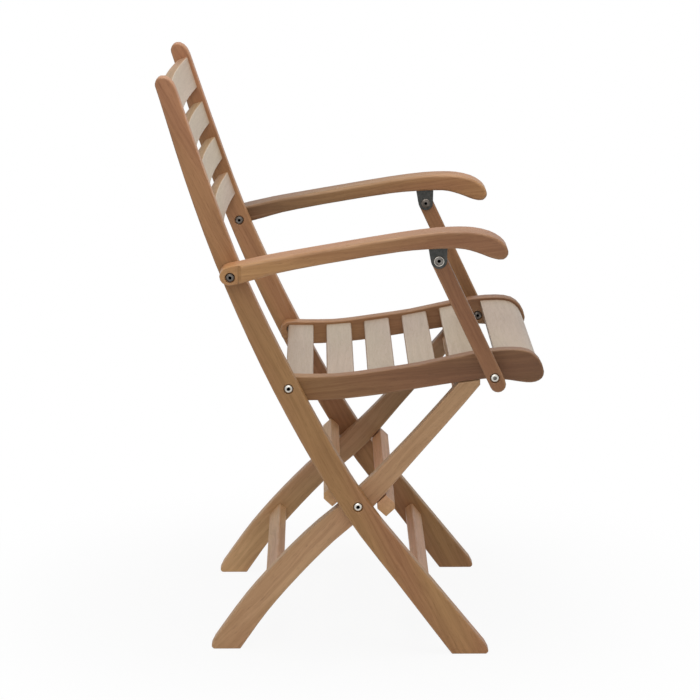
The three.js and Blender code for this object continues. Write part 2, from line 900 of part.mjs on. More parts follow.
// A bolt seated in an outer face and the sleeve nut that meets it from an inner one
function boltAndNut(name, side, centre, nutFace, sleeveEnd, headFace) {
  const seat = nutFace - jointGap;
  const headSeat = headFace - counterboreDepth + jointGap;
  const bolt = boltBody(centre, seat + jointGap, headSeat, boltHeadRadius);
  const nut = sleeveNutBody(centre, seat, sleeveEnd - jointGap, nutHeadRadius);
  return [piece(`${name}_bolt`, bolt, silver, side), piece(`${name}_nut`, nut, silver, side)];
}

// The scissor bolt ends in an insert, so that the rear leg's inner face stays plain
function boltAndInsert(side) {
  const end = railInner + insertCover + jointGap;
  const headSeat = postOuter - counterboreDepth + jointGap;
  const tip = end + nutHeadRim + jointGap;
  return [
    piece('scissor_bolt', boltBody(scissor, tip, headSeat, boltHeadRadius), silver, side),
    piece('scissor_nut', insertBody(scissor, end, railOuter - jointGap), silver, side),
  ];
}

function washer(name, side, centre, from, to) {
  const inner = (from + to - washerThickness) / 2;
  const body = ringBody(
    centre, boltRadius + runningGap, washerRadius, inner, inner + washerThickness);
  return piece(`${name}_washer`, body, silver, side);
}

const boltHole = boltRadius + runningGap;
const sleeveHole = sleeveRadius + runningGap;
const nutRecess = nutHeadRim + nutHeadDome + jointGap + jointGap;

function post(side) {
  let body = board(postOutline, postInner, postOuter, frameEase);
  [...backSlatMembers, frontStretcher].forEach(({ face, tenon }) => {
    body = mortised(body, face, tenon);
  });
  const headSeat = { outerDepth: counterboreDepth };
  body = drilled(body, scissor, boltHole, postInner, postOuter, headSeat);
  body = drilled(body, seatPivot, boltHole, postInner, postOuter, headSeat);
  body = drilled(body, armPivot, sleeveHole, postInner, postOuter, { innerDepth: nutRecess });
  return piece('post', body, teak, side);
}

function rearLeg(side) {
  let body = board(legOutline, railInner, railOuter, frameEase);
  [rearStretcher, tieBar].forEach(({ face, tenon }) => {
    body = mortised(body, face, tenon);
  });
  const hole = rod(scissor, sleeveHole, railInner + insertCover, railOuter + cutOverrun);
  return piece('rear_leg', body.subtract(hole), teak, side);
}

function seatRail(side) {
  let body = board(railOutline, railInner, railOuter, frameEase);
  seatSlats.forEach(({ face, tenon }) => {
    body = mortised(body, face, tenon);
  });
  const nutSeat = { innerDepth: nutRecess };
  body = drilled(body, seatPivot, sleeveHole, railInner, railOuter, nutSeat);
  body = drilled(body, strutBolt, sleeveHole, railInner, railOuter, nutSeat);
  return piece('seat_rail', body, teak, side);
}

function strut(side) {
  let body = board(strutOutline, strutInner, strutOuter, frameEase);
  const headSeat = { outerDepth: counterboreDepth };
  body = drilled(body, strutBolt, boltHole, strutInner, strutOuter, headSeat);
  body = drilled(body, bracketBolt, sleeveRadius + openPlay, strutInner, strutOuter);
  return piece('strut', body, teak, side);
}

// Above the bracket the arm has a shallow housing, and its rear end is thinned to a tongue
function arm(side) {
  const shoulderY = armPivot.x - tongueLength;
  const behind = armPivot.x + armCrest;
  const relief = new THREE.ExtrudeGeometry(new THREE.Shape([
    new THREE.Vector2(tongueOuter, shoulderY),
    new THREE.Vector2(armOuter + tongueRelief, shoulderY - tongueRelief - tongueRelief),
    new THREE.Vector2(armOuter + tongueRelief, behind),
    new THREE.Vector2(tongueOuter, behind),
  ]), { depth: armReach, steps: 1, bevelEnabled: false });
  relief.translate(0, 0, armPivot.y - armReach / 2);
  const housingTop = bracketTop + jointGap;
  const housing = block(
    new THREE.Vector2(bracketBolt.x + (bracketBackWidth - bracketFrontWidth) / 2,
      housingTop - bracketRadius),
    0, bracketInner - jointGap, bracketOuter + jointGap,
    bracketBackWidth + bracketFrontWidth + jointGap + jointGap, bracketRadius + bracketRadius);
  let body = board(armOutline, armInner, armOuter, armEase)
    .subtract(solid(relief))
    .subtract(housing);
  screwPlaces().forEach((y) => {
    const hole = new THREE.CylinderGeometry(
      bracketScrewRadius + jointGap, bracketScrewRadius + jointGap,
      bracketScrewLength + bracketScrewLength, turnSides);
    hole.rotateX(Math.PI / 2);
    hole.translate(bracketMiddle, y, bracketTop - bracketSteel);
    body = body.subtract(solid(hole));
  });
  const headSeat = { outerDepth: counterboreDepth };
  return piece('arm', drilled(body, armPivot, boltHole, armInner, tongueOuter, headSeat),
    teak, side);
}

function screwPlaces() {
  const middle = bracketBolt.x + (bracketBackWidth - bracketFrontWidth) / 2;
  return [middle - bracketScrewSpacing / 2, middle + bracketScrewSpacing / 2];
}

// A U of bent steel, whose side plates taper to a round end about the strut's bolt
function bracket(side) {
  const rise = bracketTop - bracketBolt.y;
  const rear = new THREE.Vector2(bracketBackWidth, rise);
  const front = new THREE.Vector2(-bracketFrontWidth, rise);
  const start = front.angle() + Math.acos(bracketRadius / front.length());
  const end = rear.angle() - Math.acos(bracketRadius / rear.length()) + Math.PI * 2;
  const outline = [rear, front];
  for (let step = 0; step <= turnSides / 2; step++) {
    const turn = THREE.MathUtils.lerp(start, end, step / (turnSides / 2));
    outline.push(new THREE.Vector2(Math.cos(turn), Math.sin(turn)).multiplyScalar(bracketRadius));
  }
  outline.forEach((point) => point.add(bracketBolt));
  const slot = block(
    new THREE.Vector2(bracketBolt.x, bracketTop - bracketSteel - armCrest / 2),
    0, bracketInner + bracketSteel, bracketOuter - bracketSteel, armCrest, armCrest);
  let body = board(outline, bracketInner, bracketOuter, 0).subtract(slot);
  const sleeveWay = rod(
    bracketBolt, sleeveRadius + jointGap, bracketInner - cutOverrun, bracketMiddle);
  body = body.subtract(sleeveWay);
  body = drilled(body, bracketBolt, boltRadius + jointGap, bracketInner, bracketOuter);
  screwPlaces().forEach((y) => {
    const hole = new THREE.CylinderGeometry(
      bracketScrewRadius + jointGap, bracketScrewRadius + jointGap, bracketRadius, turnSides);
    hole.rotateX(Math.PI / 2);
    hole.translate(bracketMiddle, y, bracketTop - bracketSteel / 2);
    body = body.subtract(solid(hole));
  });
  return piece('arm_bracket', body, darkSteel, side);
}

function bracketHardware(side) {
  const nutSeat = bracketInner - jointGap;
  const sleeveEnd = bracketOuter - bracketSteel - jointGap;
  const seat = bracketTop - bracketSteel - jointGap;
  const [frontY, rearY] = screwPlaces();
  const bolt = boltBody(bracketBolt, bracketInner, bracketOuter + jointGap, flangeRadius);
  const nut = sleeveNutBody(bracketBolt, nutSeat, sleeveEnd, flangeRadius);
  return [
    piece('bracket_bolt', bolt, silver, side),
    piece('bracket_nut', nut, silver, side),
    piece('bracket_screw_front', screwBody(bracketMiddle, frontY, seat), silver, side),
    piece('bracket_screw_rear', screwBody(bracketMiddle, rearY, seat), silver, side),
  ];
}

// The chair, as groups that turn about their pivots

const backFrame = [
  ...sides.map(post),
  ...backSlatMembers.map((member, index) => cross(`back_slat_${index + 1}`, member, paleTeak)),
  cross('front_stretcher', frontStretcher, teak),
  stopBar('front', stopBarSection(1, 0, 0)),
  stopBar('rear', stopBarSection(-1, rearBarSetback, rearBarStandoff)),
  ...sides.flatMap((side) => [
    ...boltAndInsert(side),
    washer('scissor', side, scissor, railOuter, postInner),
    ...boltAndNut('seat_pivot', side, seatPivot, railInner + nutRecess, railOuter, postOuter),
    washer('seat_pivot', side, seatPivot, railOuter, postInner),
    ...boltAndNut('arm_pivot', side, armPivot, postInner + nutRecess, postOuter, tongueOuter),
    washer('arm_pivot', side, armPivot, postOuter, armInner),
  ]),
];

const rearLegs = assembly(scissor, [
  ...sides.map(rearLeg),
  cross('rear_stretcher', rearStretcher, teak),
  cross('tie_bar', tieBar, teak),
]);

const struts = sides.map((side) => assembly(strutBolt, [strut(side)]));

const seat = assembly(seatPivot, [
  ...sides.map(seatRail),
  ...seatSlats.map((member, index) => cross(`seat_slat_${index + 1}`, member, paleTeak)),
  ...sides.flatMap((side) => [
    ...boltAndNut('strut', side, strutBolt, railInner + nutRecess, railOuter, strutOuter),
    piece('strut_spacer', ringBody(
      strutBolt, boltHole, spacerRadius, railOuter + jointGap, strutInner - jointGap),
    silver, side),
  ]),
  ...struts,
]);

const arms = sides.map((side) => assembly(armPivot, [
  arm(side), bracket(side), ...bracketHardware(side),
]));

const chair = new THREE.Group();
chair.add(...backFrame, rearLegs, seat, ...arms);
chair.updateMatrixWorld();
const size = new THREE.Box3().setFromObject(chair, true);
chair.position.set(0, -(size.min.y + size.max.y) / 2, -size.min.z);

export default chair;
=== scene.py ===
"""Dresses the folding teak armchair: rounded boards, grained teak, steel, light and camera.

Every wooden board is refined from the frame's own solid of it, so sizes, places and pivots stay the
frame's. Bolts, nuts and spacers are turned anew on the axes that the frame gives them. Lengths are
in metres. X runs across the chair, -Y is its front and +Z is up.
"""

from __future__ import annotations

import logging
import math
from dataclasses import dataclass
from enum import Enum

import bmesh
import bpy
from bmesh.types import BMesh, BMVert
from bpy.types import Material, Node, NodeSocket, NodeTree
from mathutils import Matrix, Vector


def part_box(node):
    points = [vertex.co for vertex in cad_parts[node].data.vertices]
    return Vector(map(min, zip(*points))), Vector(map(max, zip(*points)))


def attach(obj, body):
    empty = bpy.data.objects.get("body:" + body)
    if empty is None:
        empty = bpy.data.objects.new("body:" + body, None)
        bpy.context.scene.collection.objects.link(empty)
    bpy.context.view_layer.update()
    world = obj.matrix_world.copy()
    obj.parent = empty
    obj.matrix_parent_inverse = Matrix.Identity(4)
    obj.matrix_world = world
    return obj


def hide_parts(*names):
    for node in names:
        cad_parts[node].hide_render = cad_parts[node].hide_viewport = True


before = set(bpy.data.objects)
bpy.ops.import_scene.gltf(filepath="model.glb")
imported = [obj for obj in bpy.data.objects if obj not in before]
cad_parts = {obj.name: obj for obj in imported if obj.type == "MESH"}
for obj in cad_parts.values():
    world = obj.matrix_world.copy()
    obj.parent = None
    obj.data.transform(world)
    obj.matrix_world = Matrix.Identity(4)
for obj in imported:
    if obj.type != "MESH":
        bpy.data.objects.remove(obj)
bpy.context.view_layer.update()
LOG = logging.getLogger("folding_armchair")
MM = 0.001
ACROSS = Vector((1.0, 0.0, 0.0))
BACKWARD = Vector((0.0, 1.0, 0.0))
SHARP_TURN = math.radians(40.0)

Colour = tuple[float, float, float, float]
Pair = tuple[float, float]
Triple = tuple[float, float, float]
Feeds = dict[str | int, object]


class Side(Enum):
    """The two sides of the chair, named for the sitter, with the sign of X there."""

    LEFT = 1
    RIGHT = -1

    @property
    def word(self) -> str:
        """The side's name as the frame's nodes write it."""
        return self.name.lower()


class Slot(Enum):
    """The record's material slots."""

    FRAME_TEAK = "frame_teak"
    SLAT_TEAK = "slat_teak"
    STEEL = "steel"
    DARK_STEEL = "dark_steel"


class Socket(Enum):
    """The kinds of socket that the shared node groups have."""

    NUMBER = "NodeSocketFloat"
    COLOUR = "NodeSocketColor"
    VECTOR = "NodeSocketVector"


# Shader building


class Shader:
    """A node tree that is being filled, with short ways to add and feed nodes."""

    def __init__(self, tree: NodeTree) -> None:
        """Takes the tree to fill.

        Args:
            tree: The tree of a material, of the world or of a node group.
        """
        self.tree = tree

    def feed(self, node: Node, feeds: Feeds) -> None:
        """Feeds a node's inputs, each from a socket or with a plain value.

        Args:
            node: The node.
            feeds: An output socket, a number or a tuple of numbers for each input, by its name or
                place.
        """
        for key, source in feeds.items():
            if isinstance(source, NodeSocket):
                self.tree.links.new(source, node.inputs[key])
            else:
                node.inputs[key].default_value = source

    def add(self, kind: str, feeds: Feeds | None = None, **settings: object) -> Node:
        """Adds a node, sets its properties and feeds its inputs.

        Args:
            kind: The node's type name.
            feeds: What its inputs take, as in feed.
            **settings: Properties of the node, by name.

        Returns:
            The new node.
        """
        node = self.tree.nodes.new(kind)
        for name, value in settings.items():
            setattr(node, name, value)
        self.feed(node, feeds or {})
        return node

    def math(self, operation: str, first: object, second: object) -> NodeSocket:
        """Adds a sum of two values.

        Args:
            operation: The name of the operation.
            first: The first value or socket.
            second: The second value or socket.

        Returns:
            The result's socket.
        """
        return self.add("ShaderNodeMath", {0: first, 1: second}, operation=operation).outputs[0]

    def noise(
        self, vector: object, stretch: Triple, detail: float, rough: float = 0.5,
        scale: object = 1.0,
    ) -> NodeSocket:
        """Adds a noise pattern.

        Args:
            vector: The socket of the place.
            stretch: How fine the noise is along each axis.
            detail: How many finer layers it has.
            rough: How strong the finer layers are.
            scale: A further factor on the place, as a number or a socket.

        Returns:
            The noise value's socket, from 0 to 1.
        """
        feeds = {0: vector, 1: stretch}
        place = self.add("ShaderNodeVectorMath", feeds, operation="MULTIPLY").outputs[0]
        feeds = {"Vector": place, "Scale": scale, "Detail": detail, "Roughness": rough}
        return self.add("ShaderNodeTexNoise", feeds).outputs["Fac"]

    def between(
        self, value: object, low: float, high: float, to_low: float, to_high: float,
    ) -> NodeSocket:
        """Maps a span of values smoothly onto another.

        Args:
            value: The value's socket.
            low: The value that gives to_low.
            high: The value that gives to_high.
            to_low: The result at low and below.
            to_high: The result at high and above.

        Returns:
            The result's socket.
        """
        feeds = {
            "Value": value, "From Min": low, "From Max": high, "To Min": to_low, "To Max": to_high,
        }
        node = self.add("ShaderNodeMapRange", feeds, interpolation_type="SMOOTHSTEP")
        return node.outputs["Result"]

    def blend(
        self, share: object, first: object, second: object, mode: str = "MIX",
    ) -> NodeSocket:
        """Mixes two colours.

        Args:
            share: How much of the second colour there is.
            first: The first colour or its socket.
            second: The second colour or its socket.
            mode: The way of mixing.

        Returns:
            The mixed colour's socket.
        """
        feeds = {"Factor": share, "A": first, "B": second}
        node = self.add("ShaderNodeMix", feeds, data_type="RGBA", blend_type=mode)
        return node.outputs["Result"]


def new_group(
    name: str, inputs: dict[str, Socket], outputs: dict[str, Socket],
) -> tuple[Shader, Node, Node]:
    """Makes an empty shader node group with named sockets.

    Args:
        name: The group's name.
        inputs: The kind of each input, by name.
        outputs: The kind of each output, by name.

    Returns:
        The group's shader builder, its input node and its output node.
    """
    tree = bpy.data.node_groups.new(name, "ShaderNodeTree")
    for way, sockets in (("INPUT", inputs), ("OUTPUT", outputs)):
        for socket, kind in sockets.items():
            tree.interface.new_socket(name=socket, in_out=way, socket_type=kind.value)
    shader = Shader(tree)
    return shader, shader.add("NodeGroupInput"), shader.add("NodeGroupOutput")


def new_material(name: str) -> tuple[Material, Shader, Node]:
    """Makes a material with a plain surface.

    Args:
        name: The material's name.

    Returns:
        The material, its shader builder and its surface's node.
    """
    material = bpy.data.materials.new(name)
    material.use_nodes = True
    return material, Shader(material.node_tree), material.node_tree.nodes["Principled BSDF"]


@dataclass(frozen=True)
class NoiseLayer:
    """One layer of noise.

    Attributes:
        stretch: How fine it is along each axis of the place that it reads.
        detail: How many finer layers the noise has.
        span: The noise values between which the layer rises.
        swing: The layer's results at the two ends of that span.
        rough: How strong the noise's finer layers are.
    """

    stretch: Triple
    detail: float
    span: Pair
    swing: Pair = (0.0, 1.0)
    rough: float = 0.5

    def noise(self, shader: Shader, place: object) -> NodeSocket:
        """Adds the layer's noise at a place and gives its socket."""
        return shader.noise(place, self.stretch, self.detail, self.rough)

    def result(self, shader: Shader, noise: object) -> NodeSocket:
        """Adds what the layer makes of its noise and gives that socket."""
        return shader.between(noise, *self.span, *self.swing)

    def at(self, shader: Shader, place: object) -> NodeSocket:
        """Adds the layer's noise at a place and gives its result's socket."""
        return self.result(shader, self.noise(shader, place))


@dataclass(frozen=True)
class Grain:
    """The grain of a sawn teak board.

    Attributes:
        patches: The soft patches, which also bend the finer layers.
        lines: The growth lines.
        streaks: The streaks.
        fibres: The fibres.
        pores: The pores.
        warmth: The wood's hue, where 0.5 leaves it as it is.
        mean: The mean of a noise, and the middle between the two tones.
        drift: How far the patches bend the finer layers.
        pore_tone: The factor on the wood's colour in a pore.
        fibre_height: How high the fibres stand, as a share of the relief.
        streak_depth: How deep the streaks lie, likewise.
        pore_depth: How deep the pores lie, likewise.
        rough_swing: How far the fibres change the roughness.
    """

    patches: NoiseLayer = NoiseLayer((4.5, 17.0, 17.0), 2.0, (0.32, 0.7), (-0.24, 0.24))
    lines: NoiseLayer = NoiseLayer((1.1, 150.0, 150.0), 2.0, (0.34, 0.68), (-0.2, 0.24), 0.55)
    streaks: NoiseLayer = NoiseLayer((4.0, 330.0, 330.0), 3.0, (0.32, 0.7), (-0.13, 0.17), 0.6)
    fibres: NoiseLayer = NoiseLayer((22.0, 900.0, 900.0), 3.0, (0.3, 0.7), (-0.11, 0.11), 0.65)
    pores: NoiseLayer = NoiseLayer((60.0, 1500.0, 1500.0), 1.0, (0.62, 0.74))
    warmth: NoiseLayer = NoiseLayer((2.6, 11.0, 11.0), 1.0, (0.3, 0.7), (0.491, 0.509))
    mean: float = 0.5
    drift: float = 30.0 * MM
    pore_tone: Colour = (0.45, 0.38, 0.33, 1.0)
    fibre_height: float = 0.6
    streak_depth: float = 0.3
    pore_depth: float = 0.5
    rough_swing: float = 0.24

    def group(self) -> NodeTree:
        """Makes the grain's node group.

        Returns:
            The node group, which reads a place along, across and through the board.
        """
        shader, given, result = new_group(
            "teak_grain",
            {
                "Board Place": Socket.VECTOR, "Light Tone": Socket.COLOUR,
                "Dark Tone": Socket.COLOUR, "Figure": Socket.NUMBER, "Pores": Socket.NUMBER,
            },
            {"Color": Socket.COLOUR, "Height": Socket.NUMBER, "Roughness": Socket.NUMBER},
        )
        place = given.outputs["Board Place"]
        patches = self.patches.noise(shader, place)
        drift = shader.math("MULTIPLY", shader.math("SUBTRACT", patches, self.mean), self.drift)
        shift = shader.add("ShaderNodeCombineXYZ", {"Y": drift, "Z": drift}).outputs["Vector"]
        bent = shader.add("ShaderNodeVectorMath", {0: place, 1: shift}, operation="ADD").outputs[0]
        lines, streaks, fibres = (
            layer.noise(shader, bent) for layer in (self.lines, self.streaks, self.fibres))
        pores = self.pores.at(shader, bent)
        figure = self.lines.result(shader, lines)
        for layer, noise in (
            (self.streaks, streaks), (self.patches, patches), (self.fibres, fibres),
        ):
            figure = shader.math("ADD", figure, layer.result(shader, noise))
        figure = shader.math("MULTIPLY", figure, given.outputs["Figure"])
        figure = shader.math("ADD", figure, self.mean)
        plain = shader.blend(figure, given.outputs["Light Tone"], given.outputs["Dark Tone"])
        plain.node.clamp_factor = True
        hue = self.warmth.at(shader, place)
        tone = shader.add("ShaderNodeHueSaturation", {"Color": plain, "Hue": hue}).outputs["Color"]
        pore_share = shader.math("MULTIPLY", pores, given.outputs["Pores"])
        pore_tone = shader.blend(1.0, tone, self.pore_tone, "MULTIPLY")
        height = shader.math("MULTIPLY", fibres, self.fibre_height)
        for source, depth in ((streaks, self.streak_depth), (pores, self.pore_depth)):
            height = shader.math("SUBTRACT", height, shader.math("MULTIPLY", source, depth))
        uneven = shader.math("SUBTRACT", fibres, self.mean)
        shader.feed(result, {
            "Color": shader.blend(pore_share, tone, pore_tone),
            "Height": height,
            "Roughness": shader.math("MULTIPLY", uneven, self.rough_swing),
        })
        return shader.tree


@dataclass(frozen=True)
class EdgeWear:
    """The wear of rounded edges.

    Attributes:
        gaps: The noise that breaks it up, with 1 where the wear is missing.
    """

    gaps: NoiseLayer = NoiseLayer((24.0, 24.0, 24.0), 3.0, (0.32, 0.68), (1.0, 0.0), 0.6)

    def group(self) -> NodeTree:
        """Makes the node group, which turns the wear that a mesh carries into a mask.

        Returns:
            The node group.
        """
        shader, given, result = new_group(
            "edge_wear",
            {"Place": Socket.VECTOR, "Wear": Socket.NUMBER, "Breakup": Socket.NUMBER},
            {"Mask": Socket.NUMBER},
        )
        gaps = self.gaps.at(shader, given.outputs["Place"])
        broken = shader.math("MULTIPLY", gaps, given.outputs["Breakup"])
        kept = shader.math("SUBTRACT", 1.0, broken)
        shader.feed(result, {"Mask": shader.math("MULTIPLY", given.outputs["Wear"], kept)})
        return shader.tree


@dataclass(frozen=True)
class HandledMetal:
    """The fine scratches and smears of handled metal.

    Attributes:
        smears: The smears' noise.
        drawn: How the scratches are stretched along each axis.
        scratch_detail: How many finer layers the scratches have.
    """

    smears: NoiseLayer = NoiseLayer((190.0, 190.0, 190.0), 3.0, (0.35, 0.68), rough=0.6)
    drawn: Triple = (1.0, 0.18, 1.0)
    scratch_detail: float = 2.0

    def group(self) -> NodeTree:
        """Makes the node group.

        Returns:
            The node group, which puts out a smear mask and a height.
        """
        shader, given, result = new_group(
            "handled_metal",
            {"Place": Socket.VECTOR, "Scratch Scale": Socket.NUMBER},
            {"Smear": Socket.NUMBER, "Height": Socket.NUMBER},
        )
        place = given.outputs["Place"]
        scratches = shader.noise(
            place, self.drawn, self.scratch_detail, scale=given.outputs["Scratch Scale"])
        shader.feed(result, {"Smear": self.smears.at(shader, place), "Height": scratches})
        return shader.tree


@dataclass(frozen=True)
class TeakFinish:
    """Oiled teak of one tone.

    Attributes:
        name: The material's name.
        light: The lighter wood's colour.
        dark: The darker wood's colour.
        worn: The colour of worn edges.
        roughness: The surface's mean roughness.
        figure: How strongly the grain stands out.
        pores: How dark the pores are.
        gloss: The level of the surface's reflections.
        relief: How deep the grain is.
        bump: How strongly that relief shows.
        wear: How far worn edges take their own colour.
        breakup: How far noise breaks up that wear.
        polish: How much smoother worn edges are.
    """

    name: str
    light: Colour
    dark: Colour
    worn: Colour
    roughness: float
    figure: float = 0.85
    pores: float = 0.5
    gloss: float = 0.4
    relief: float = 0.5 * MM
    bump: float = 0.35
    wear: float = 0.22
    breakup: float = 0.7
    polish: float = 0.08

    def material(self, groups: dict[str, NodeTree]) -> Material:
        """Makes the material.

        Args:
            groups: The shared node groups, by name.

        Returns:
            The new material.
        """
        material, shader, surface = new_material(self.name)
        place, wear, tone_shade = (
            shader.add("ShaderNodeAttribute", attribute_type="GEOMETRY", attribute_name=name)
            for name in ("board_place", "edge_wear", "board_tone_and_shade"))
        grain_feeds = {
            "Board Place": place.outputs["Vector"], "Light Tone": self.light,
            "Dark Tone": self.dark, "Figure": self.figure, "Pores": self.pores,
        }
        grain = shader.add("ShaderNodeGroup", grain_feeds, node_tree=groups["grain"])
        edge_feeds = {
            "Place": place.outputs["Vector"], "Wear": wear.outputs["Fac"],
            "Breakup": self.breakup,
        }
        edges = shader.add("ShaderNodeGroup", edge_feeds, node_tree=groups["edge_wear"])
        mask = edges.outputs["Mask"]
        # Scales the grain's brightness by the board's tone, which on some boards carries painted
        # shade.
        toned_and_shaded = shader.add("ShaderNodeHueSaturation", {
            "Color": grain.outputs["Color"], "Value": tone_shade.outputs["Fac"],
        })
        worn_share = shader.math("MULTIPLY", mask, self.wear)
        rough = shader.math("ADD", grain.outputs["Roughness"], self.roughness)
        polish = shader.math("MULTIPLY", mask, self.polish)
        bump = shader.add("ShaderNodeBump", {
            "Strength": self.bump, "Distance": self.relief, "Height": grain.outputs["Height"],
        })
        shader.feed(surface, {
            "Base Color": shader.blend(worn_share, toned_and_shaded.outputs["Color"], self.worn),
            "Roughness": shader.math("SUBTRACT", rough, polish),
            "Normal": bump.outputs["Normal"],
            "Specular IOR Level": self.gloss,
        })
        return material


@dataclass(frozen=True)
class SteelFinish:
    """Steel of one tone.

    Attributes:
        name: The material's name.
        clean: The metal's colour.
        smeared: The colour where it is smeared or worn.
        metallic: How metallic the surface is.
        roughness: The surface's roughness.
        smear_rise: How much rougher it is where it is smeared.
        scratch: How fine its scratches are.
        relief: How deep the scratches are.
        bump: How strongly that relief shows.
    """

    name: str
    clean: Colour
    smeared: Colour
    metallic: float = 1.0
    roughness: float = 0.4
    smear_rise: float = 0.14
    scratch: float = 900.0
    relief: float = 0.1 * MM
    bump: float = 0.12

    def material(self, groups: dict[str, NodeTree]) -> Material:
        """Makes the material.

        Args:
            groups: The shared node groups, by name.

        Returns:
            The new material.
        """
        material, shader, surface = new_material(self.name)
        place = shader.add("ShaderNodeTexCoord").outputs["Object"]
        feeds = {"Place": place, "Scratch Scale": self.scratch}
        handled = shader.add("ShaderNodeGroup", feeds, node_tree=groups["handled"])
        smear = handled.outputs["Smear"]
        bump = shader.add("ShaderNodeBump", {
            "Strength": self.bump, "Distance": self.relief, "Height": handled.outputs["Height"],
        })
        shader.feed(surface, {
            "Base Color": shader.blend(smear, self.clean, self.smeared),
            "Roughness": shader.between(
                smear, 0.0, 1.0, self.roughness, self.roughness + self.smear_rise),
            "Normal": bump.outputs["Normal"],
            "Metallic": self.metallic,
        })
        return material


class Finishes:
    """The chair's materials, each made once."""

    def __init__(self) -> None:
        """Makes the shared node groups and the materials."""
        groups = {
            "grain": Grain().group(), "edge_wear": EdgeWear().group(),
            "handled": HandledMetal().group(),
        }
        self.frame_teak = TeakFinish(
            "oiled_frame_teak", light=(0.495, 0.25, 0.108, 1.0), dark=(0.31, 0.14, 0.054, 1.0),
            worn=(0.55, 0.33, 0.18, 1.0), roughness=0.5,
        ).material(groups)
        self.leg_teak = TeakFinish(
            "pale_leg_teak", light=(0.66, 0.39, 0.21, 1.0), dark=(0.45, 0.24, 0.112, 1.0),
            worn=(0.66, 0.43, 0.26, 1.0), roughness=0.52,
        ).material(groups)
        # The slats' pale faces are partly their own paler wood and partly painted sheen; the
        # second, browner copy paints shade on their edges.
        self.slat_teak = TeakFinish(
            "pale_slat_teak_with_sheen", light=(0.47, 0.363, 0.26, 1.0), dark=(0.335, 0.248, 0.168, 1.0),
            worn=(0.48, 0.37, 0.262, 1.0), roughness=0.44, figure=0.6, pores=0.35, gloss=0.6,
        ).material(groups)
        self.slat_edge_shade_teak = TeakFinish(
            "slat_edge_shade_teak", light=(0.38, 0.235, 0.135, 1.0), dark=(0.25, 0.145, 0.078, 1.0),
            worn=(0.42, 0.29, 0.18, 1.0), roughness=0.56, pores=0.4, gloss=0.3,
        ).material(groups)
        self.bright_steel = SteelFinish(
            "bright_bolt_steel", clean=(0.68, 0.66, 0.60, 1.0), smeared=(0.50, 0.48, 0.44, 1.0),
            roughness=0.28,
        ).material(groups)
        # Dull steel painted dark and brownish for the nuts, washers, spacers, screws and arm pivot
        # bolts: painted shade and a painted reflection of the wood round them.
        self.dull_shade_steel = SteelFinish(
            "dull_shade_bolt_steel", clean=(0.16, 0.14, 0.122, 1.0), smeared=(0.09, 0.076, 0.065, 1.0),
        ).material(groups)
        # A darker steel for sockets and for the dished bracket bolts' hollows: painted shade and a
        # painted dark reflection there.
        self.painted_shade_steel = SteelFinish(
            "painted_socket_shade_steel", clean=(0.2, 0.185, 0.17, 1.0), smeared=(0.12, 0.11, 0.1, 1.0),
        ).material(groups)
        self.dark_steel = SteelFinish(
            "dark_bracket_steel", clean=(0.038, 0.04, 0.037, 1.0), smeared=(0.07, 0.07, 0.066, 1.0),
            metallic=0.6, scratch=700.0,
        ).material(groups)


# Mesh building


def new_piece(
    name: str, shape: BMesh, *materials: Material,
) -> bpy.types.Object:
    """Turns a finished shape into an object of the scene.

    Args:
        name: The object's name.
        shape: Its mesh, which is freed.
        *materials: Its materials, in the order of the faces' indices.

    Returns:
        The new object, at the origin.
    """
    mesh = bpy.data.meshes.new(name)
    shape.to_mesh(mesh)
    shape.free()
    mesh.shade_smooth()
    mesh.set_sharp_from_angle(angle=SHARP_TURN)
    for material in materials:
        mesh.materials.append(material)
    piece = bpy.data.objects.new(name, mesh)
    bpy.context.scene.collection.objects.link(piece)
    return piece


@dataclass(frozen=True)
class Look:
    """What sets a board apart from others of its finish, and the painted shade that some boards
    carry along their grain.

    Attributes:
        seed: A number that moves the grain pattern and picks the board's tone.
        tones: How light the board is beside the finish's mean, at the start and end of its grain;
            the darker end is painted shade on the rails, the left rear leg and the left arm.
    """

    seed: int
    tones: Pair = (1.0, 1.0)

    def after(self, count: int) -> Look:
        """Gives the look of the board that comes so many places later in a row."""
        return Look(self.seed + count, self.tones)


